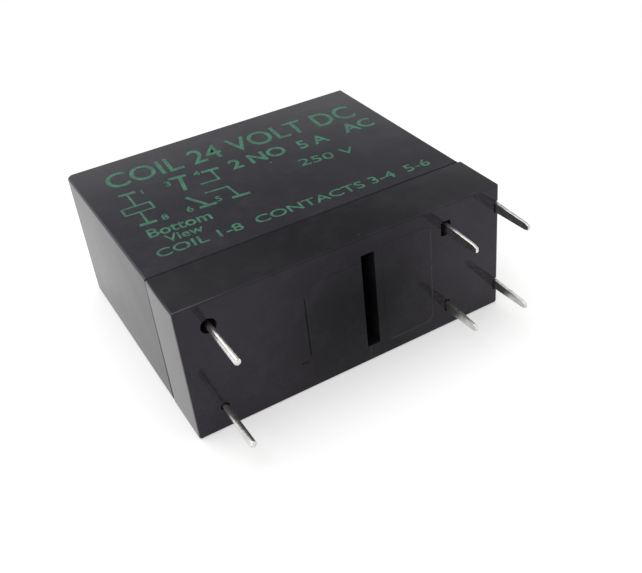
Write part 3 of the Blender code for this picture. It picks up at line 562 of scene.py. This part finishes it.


# Enamelled wire: each turn is a ridge across the coil's axis, and painted shade darkens the valleys between
# turns
winding = {
    "valleyShade": (0.30, 0.10, 0.04),
    "ridge": (0.66, 0.28, 0.12),
    "scale": 4500,
    "waver": 0.4,
    "ridgeDepth": 0.00002,
    "ridgeStrength": 0.8,
    "metallic": 0.9,
    "roughness": 0.32,
    "enamel": 0.6,
    "enamelRoughness": 0.2,
}


def windingCopper():
    material, tree = newMaterial("windingCopper")
    turns = addNode(
        tree, "ShaderNodeTexWave", bands_direction="Y", Scale=winding["scale"], Distortion=winding["waver"],
    )
    tree.links.new(objectPoints(tree), turns.inputs["Vector"])
    fillSurface(tree, {
        "Metallic": winding["metallic"],
        "Roughness": winding["roughness"],
        "Coat Weight": winding["enamel"],
        "Coat Roughness": winding["enamelRoughness"],
        # Painted shade: the wave runs from the darker valley colour to the ridge colour
        "Base Color": blendColour(tree, turns.outputs["Fac"], winding["valleyShade"], winding["ridge"]),
        "Normal": bump(tree, turns.outputs["Fac"], winding["ridgeDepth"], winding["ridgeStrength"]),
    })
    return material


# Pad printed ink: it lies thinner in places and is speckled by the grain below
ink = {
    "colour": (0.045, 0.215, 0.125),
    "thin": (0.020, 0.105, 0.065),
    "cloud": {"scale": 1500, "detail": 4, "roughness": 0.6},
    "cloudStops": ((0.35, 0.0), (0.65, 1.0)),
    "specks": {"scale": 7000, "detail": 2},
    "speckStops": ((0.30, 1.0), (0.42, 0.0)),
    "gloss": {"scale": 3000, "detail": 3},
    "roughness": (0.35, 0.60),
}


def inkMaterial():
    material, tree = newMaterial("greenInk")
    points = objectPoints(tree)
    cloud = ramp(tree, noise(tree, points, **ink["cloud"]), *ink["cloudStops"])
    specks = ramp(tree, noise(tree, points, **ink["specks"]), *ink["speckStops"])
    body = blendColour(tree, cloud, ink["thin"], ink["colour"])
    fillSurface(tree, {
        "Base Color": blendColour(tree, specks, body, coverPlastic["colour"]),
        "Roughness": spread(tree, noise(tree, points, **ink["gloss"]), *ink["roughness"]),
        "Specular IOR Level": plastic["specular"],
    })
    return material


# Metals and resins: name, colour, second colour, roughness from and to, and the stretch of a metal's lines
finishes = {
    "cover": blackPlastic(**coverPlastic),
    "base": pinFacePlastic(),
    "pins": tinnedMetal(),
    "iron": plainMetal("zincIron", (0.62, 0.61, 0.57), (0.45, 0.44, 0.40), (0.28, 0.42), (1, 0.05, 1)),
    "brass": plainMetal("rivetBrass", (0.72, 0.68, 0.58), (0.55, 0.50, 0.40), (0.22, 0.36)),
    "bronze": plainMetal("springBronze", (0.74, 0.48, 0.26), (0.52, 0.32, 0.18), (0.24, 0.38), (1, 0.05, 1)),
    "silver": plainMetal("contactSilver", (0.88, 0.87, 0.84), (0.70, 0.68, 0.62), (0.16, 0.30)),
    "bobbin": mouldedResin("bobbinIvory", (0.76, 0.72, 0.60), (0.66, 0.61, 0.49), (0.40, 0.55)),
    "card": mouldedResin("cardWhite", (0.84, 0.83, 0.79), (0.76, 0.75, 0.70), (0.38, 0.52)),
    "tape": mouldedResin("tapeAmber", (0.72, 0.42, 0.09), (0.60, 0.33, 0.07), (0.25, 0.40)),
    "copper": windingCopper(),
    "ink": inkMaterial(),
}
print("finishes made:", len(finishes))


# Cover
coverForm = {
    "crownRadius": 0.00060,   # the crown's edge at the coil end
    "crownSteps": 8,
    "edgeRadius": 0.00022,
    "edgeSteps": 5,
    "wall": 0.00100,
    "seam": 0.00008,
    "seamOpens": 0.00022,     # how much wider the seam is at the lower corner of the coil end
    "setBack": 0.00003,       # the coil end lies this far inside the base's rim
}


def makeCover():
    low, high = coverLow.copy(), coverHigh.copy()
    high.z -= inkThickness
    low.y += coverForm["seam"]
    low.x = coilEndX + coverForm["setBack"]
    shape = boxShape(low, high)
    mouth = [face for face in shape.faces if face.normal.y < -0.9]
    bmesh.ops.delete(shape, geom=mouth, context="FACES_ONLY")
    crown = [
        edge for edge in shape.edges
        if all(vert.co.y > high.y - tolerance and vert.co.x < low.x + tolerance for vert in edge.verts)
    ]
    bevelEdges(shape, crown, coverForm["crownRadius"], coverForm["crownSteps"])
    bevelEdges(shape, sharpEdges(shape), coverForm["edgeRadius"], coverForm["edgeSteps"])
    for vert in shape.verts:
        atCoilEnd = vert.co.x < 0
        if atCoilEnd and vert.co.y < low.y + tolerance:
            vert.co.y += coverForm["seamOpens"] * (high.z - vert.co.z) / (high.z - low.z)
    cover = pieceFrom("coverShell", shape, finishes["cover"], replaced=["cover"])
    shell = cover.modifiers.new("Wall", "SOLIDIFY")
    shell.thickness = coverForm["wall"]
    shell.offset = -1
    shell.use_even_offset = True
    smoothEdges(cover)
    return cover


# Base and contact pins: the solids' forms with rounded edges, and changed wells, panels and free ends
baseForm = {
    "edgeRadius": 0.00004,
    "edgeSteps": 2,
    "panel": 0.00030,     # panels of the solid's pin face lie above this depth, its wells below
    "deepest": 0.00045,   # no well of the solid is deeper
    "coilWell": {"depth": 0.00130, "radius": 0.00062},
    "movingWell": {"depth": 0.00090, "radius": 0.00072},
    "reach": 0.00110,     # corners nearer to a pin than this belong to its well
    "rim": 0.00060,       # nothing moves nearer to the face's edge than this
}
terminalForm = {
    "edgeRadius": 0.00005,
    "edgeSteps": 3,
    "length": 0.91,
    "moving": {"root": (0.78, 0.92), "tip": (0.62, 0.62)},   # shares of thickness and width outside the case
    "fixed": {"root": (0.85, 0.85), "tip": (0.62, 0.62)},
    "freeFrom": 0.00001,   # corners further out than this are the free end's
    "cutAt": 0.00002,
    "tipFrom": 0.001,      # corners further out than this are the tip's
}


# The middle of a pin's free end, at the Y of its tip
def pinMiddle(name):
    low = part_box(name)[0].y
    tips = [vert.co for vert in nodes[name].data.vertices if vert.co.y < pinFaceY - terminalForm["tipFrom"]]
    middle = sum(tips, Vector()) / len(tips)
    return Vector((middle.x, low, middle.z))


# A ring of vertices where the pin leaves the case
def cutAtFace(shape):
    bmesh.ops.bisect_plane(
        shape, geom=[*shape.verts, *shape.edges, *shape.faces], dist=weldDistance,
        plane_co=(0, pinFaceY - terminalForm["cutAt"], 0), plane_no=(0, 1, 0),
    )


# The free end of a contact pin gets shorter and narrows to its tip.
def slimPin(kind, name):
    middle = pinMiddle(name)
    root, tip = terminalForm[kind]["root"], terminalForm[kind]["tip"]

    def settle(shape):
        cutAtFace(shape)
        longest = pinFaceY - min(vert.co.y for vert in shape.verts)
        for vert in shape.verts:
            out = pinFaceY - vert.co.y
            if out < terminalForm["freeFrom"]:
                continue
            share = out / longest
            vert.co.x = middle.x + (vert.co.x - middle.x) * (root[0] + (tip[0] - root[0]) * share)
            vert.co.z = middle.z + (vert.co.z - middle.z) * (root[1] + (tip[1] - root[1]) * share)
            vert.co.y = pinFaceY - out * terminalForm["length"]

    return settle


# The upper pins' wells get round and deeper than the solid's. The other wells and the panels lie level.
def settleWells(shape):
    wells = [
        (pinMiddle("coil_pin_a"), baseForm["coilWell"]),
        (pinMiddle("moving_terminal_a"), baseForm["movingWell"]),
    ]
    for vert in shape.verts:
        depth = vert.co.y - pinFaceY
        inside = baseLow.x + baseForm["rim"] < vert.co.x < baseHigh.x - baseForm["rim"]
        inside = inside and baseLow.z + baseForm["rim"] < vert.co.z < baseHigh.z - baseForm["rim"]
        if not inside or depth > baseForm["deepest"]:
            continue
        isWell = depth > baseForm["panel"]
        newDepth = 0
        for middle, well in wells:
            away = vert.co - middle
            away.y = 0
            if away.length < baseForm["reach"] and (isWell or depth < tolerance):
                newDepth = well["depth"] if isWell else 0
                if away.length > well["radius"]:
                    vert.co += away * (well["radius"] / away.length - 1)
        vert.co.y = pinFaceY + newDepth


# A new piece from a solid: settle moves its corners, then every sharp edge is rounded.
def refined(name, node, finish, form, settle):
    shape = bmesh.new()
    shape.from_mesh(nodes[node].data)
    joinFlatFaces(shape)
    settle(shape)
    joinFlatFaces(shape)
    bevelEdges(shape, sharpEdges(shape), form["edgeRadius"], form["edgeSteps"])
    piece = pieceFrom(name, shape, finishes[finish], replaced=[node])
    smoothEdges(piece)
    return piece


# Coil pins
coilPin = {
    "tipRadius": 0.00016,
    "steps": 32,
    "tipSteps": 5,
    "narrowsFrom": 0.0015,   # heights above the pin face between which the pin narrows
    "narrowsTo": 0.0011,
    "rootShare": 0.78,       # its radius below that and at the tip, as shares of the solid's
    "tipShare": 0.88,
    "smoothBelow": math.radians(50),
}


def makeCoilPin(row):
    low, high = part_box(f"coil_pin_{row}")
    centre = (low + high) / 2
    radius = (high.x - low.x) / 2
    root, free = radius * coilPin["rootShare"], radius * coilPin["tipShare"]
    tip = coilPin["tipRadius"]
    profile = [
        Vector((0, high.y, 0)),
        Vector((radius, high.y, 0)),
        Vector((radius, pinFaceY + coilPin["narrowsFrom"], 0)),
        Vector((root, pinFaceY + coilPin["narrowsTo"], 0)),
    ]
    for step in range(coilPin["tipSteps"] + 1):
        angle = math.pi / 2 * step / coilPin["tipSteps"]
        profile.append(Vector((free - tip + tip * math.cos(angle), low.y + tip - tip * math.sin(angle), 0)))
    profile.append(Vector((0, low.y, 0)))
    shape = bmesh.new()
    verts = [shape.verts.new(point) for point in profile]
    edges = [shape.edges.new(pair) for pair in zip(verts, verts[1:])]
    bmesh.ops.spin(
        shape, geom=verts + edges, cent=(0, 0, 0), axis=(0, 1, 0), dvec=(0, 0, 0),
        angle=2 * math.pi, steps=coilPin["steps"], use_merge=True, use_duplicate=False,
    )
    bmesh.ops.translate(shape, vec=(centre.x, 0, centre.z), verts=shape.verts)
    name = f"coilPin_{row}"
    pin = pieceFrom(name, shape, finishes["pins"], replaced=[f"coil_pin_{row}"])
    smoothEdges(pin, coilPin["smoothBelow"])
    return pin


# Print on the broad face, in millimetres from the coil end and from the pin face
printing = {
    "lines": (
        {"words": "COIL 24 VOLT DC", "place": (2.35, 19.3), "turn": -3.0, "cap": 2.75, "length": 23.6,
         "bold": 0.010},
        {"words": "2 NO", "place": (12.1, 15.9), "turn": -2.8, "cap": 1.80, "length": 5.2, "bold": 0.024},
        {"words": "5 A", "place": (18.5, 15.5), "turn": -2.8, "cap": 1.60, "length": 2.9, "bold": 0.022},
        {"words": "AC", "place": (23.2, 15.6), "turn": -2.8, "cap": 1.80, "length": 3.1, "bold": 0.024},
        {"words": "250 V", "place": (17.0, 12.7), "turn": -8.0, "cap": 1.20, "length": 5.1, "bold": 0.006},
        {"words": "Bottom", "place": (2.35, 10.0), "turn": -4.0, "cap": 1.35, "length": 5.1, "bold": 0.018},
        {"words": "View", "place": (3.2, 8.6), "turn": -4.0, "cap": 1.10, "length": 3.0, "bold": 0.016},
        {"words": "COIL 1-8  CONTACTS 3-4  5-6", "place": (1.9, 7.0), "turn": -2.2, "cap": 1.15,
         "length": 23.9, "bold": 0.012},
        {"words": "1", "place": (4.3, 16.85), "turn": -2.8, "cap": 0.80, "bold": 0.010},
        {"words": "8", "place": (4.15, 11.85), "turn": -2.8, "cap": 0.85, "bold": 0.010},
        {"words": "3", "place": (6.35, 16.75), "turn": -2.8, "cap": 0.90, "bold": 0.010},
        {"words": "4", "place": (8.95, 16.9), "turn": -2.8, "cap": 0.85, "bold": 0.010},
        {"words": "6", "place": (6.2, 11.7), "turn": -2.8, "cap": 0.90, "bold": 0.010},
        {"words": "5", "place": (8.75, 11.75), "turn": -2.8, "cap": 0.85, "bold": 0.010},
    ),
    "line": 0.20,
    "overrun": 0.9,        # how far a line passes its ends in all, as a share of its width
    "layer": 0.0000003,    # in metres: each line lies this much lower than the last
    "layers": 20,
}


# A place on the printed face
def onPrint(x, y):
    return Vector((coilEndX + x / 1000, pinFaceY + y / 1000, coverHigh.z - inkThickness / 2))


# A text made a mesh of 1 unit thickness, standing on the origin.
def flatText(words, bold):
    curve = bpy.data.curves.new("words", "FONT")
    curve.body = words
    curve.offset = bold
    curve.extrude = 0.5
    curve.resolution_u = 4
    writing = newObject("words", curve)
    graph = bpy.context.evaluated_depsgraph_get()
    mesh = bpy.data.meshes.new_from_object(writing.evaluated_get(graph))
    bpy.data.objects.remove(writing, do_unlink=True)
    bpy.data.curves.remove(curve)
    return mesh


# Words of a cap height. Their width follows from it unless a length is given.
def addWords(shape, words, place, turn, cap, bold, length=None):
    mesh = flatText(words, bold)
    tops = [vert.co.y for vert in mesh.vertices]
    sides = [vert.co.x for vert in mesh.vertices]
    low = min(sides)
    tall = cap / (max(tops) - min(tops)) / 1000
    wide = length / (max(sides) - low) / 1000 if length else tall
    mesh.transform(
        Matrix.Translation(onPrint(*place))
        @ Matrix.Rotation(math.radians(turn), 4, "Z")
        @ Matrix.Diagonal((wide, tall, inkThickness, 1))
        @ Matrix.Translation((-low, 0, 0))
    )
    shape.from_mesh(mesh)
    bpy.data.meshes.remove(mesh)


# A printed line between two places: a box of 8 corners, in a layer that none of its neighbours shares.
def addStroke(shape, start, finish, width):
    strokes = len(shape.verts) // 8
    sink = Vector((0, 0, strokes % printing["layers"] * printing["layer"]))
    first, last = onPrint(*start) - sink, onPrint(*finish) - sink
    made = bmesh.ops.create_cube(shape, size=1)["verts"]
    along = last - first
    turn = Matrix.Rotation(math.atan2(along.y, along.x), 4, "Z")
    size = Matrix.Diagonal((along.length + width * printing["overrun"], width, inkThickness, 1))
    bmesh.ops.transform(shape, matrix=Matrix.Translation((first + last) / 2) @ turn @ size, verts=made)


def addPath(shape, places, width=printing["line"]):
    for start, finish in zip(places, places[1:]):
        addStroke(shape, start, finish, width / 1000)


diagram = (
    # The coil: a box between two terminals
    {"places": ((1.95, 15.4), (4.3, 15.3), (4.3, 14.2), (1.95, 14.3), (1.95, 15.4))},
    {"places": ((3.15, 15.35), (3.2, 17.65))},
    {"places": ((2.67, 17.76), (3.75, 17.63)), "width": 0.38},
    {"places": ((3.1, 14.25), (3.05, 12.2))},
    {"places": ((2.53, 12.23), (3.57, 12.15)), "width": 0.38},
    # Contact 3-4
    {"places": ((7.1, 17.8), (8.25, 17.65)), "width": 0.42},
    {"places": ((7.85, 17.6), (7.45, 15.35)), "width": 0.34},
    {"places": ((8.93, 15.3), (10.45, 15.15), (10.5, 17.0))},
    {"places": ((9.85, 17.2), (11.05, 17.05)), "width": 0.38},
    # Contact 5-6
    {"places": ((7.0, 13.9), (7.95, 11.9)), "width": 0.30},
    {"places": ((7.4, 11.8), (8.5, 11.7)), "width": 0.38},
    {"places": ((8.58, 13.7), (10.45, 13.55), (10.6, 11.6))},
    {"places": ((10.15, 11.6), (11.35, 11.45)), "width": 0.38},
)


def makePrint():
    shape = bmesh.new()
    for path in diagram:
        addPath(shape, **path)
    for line in printing["lines"]:
        addWords(shape, **line)
    return pieceFrom("printedInk", shape, finishes["ink"])


# Finishes for the pieces inside, which keep their solids
innerFinishes = {
    "bobbin": ("bobbin",),
    "copper": ("coil_winding", "lead_wire_a", "lead_wire_b"),
    "tape": ("coil_tape",),
    "iron": ("core", "yoke", "armature"),
    "bronze": ("return_spring", "moving_blade_a", "moving_blade_b"),
    "brass": ("spring_rivet", "blade_rivet_a", "blade_rivet_b"),
    "silver": ("fixed_contact_a", "fixed_contact_b", "moving_contact_a", "moving_contact_b"),
    "card": ("card",),
}


def finishInside():
    for finish, names in innerFinishes.items():
        for name in names:
            for holder in nodes[name].material_slots:
                holder.material = finishes[finish]


addCamera()
addWorld()
addLamp("topLamp")
addLamp("sideLamp")
addFloor()
print("studio ready")

makeCover()
refined("baseBlock", "base", "base", baseForm, settleWells)
print("case made")

for row in ("a", "b"):
    makeCoilPin(row)
    for kind in ("moving", "fixed"):
        node = f"{kind}_terminal_{row}"
        refined(f"{kind}Terminal_{row}", node, "pins", terminalForm, slimPin(kind, node))
print("pins made")

makePrint()
finishInside()
print("print and inner finishes done")
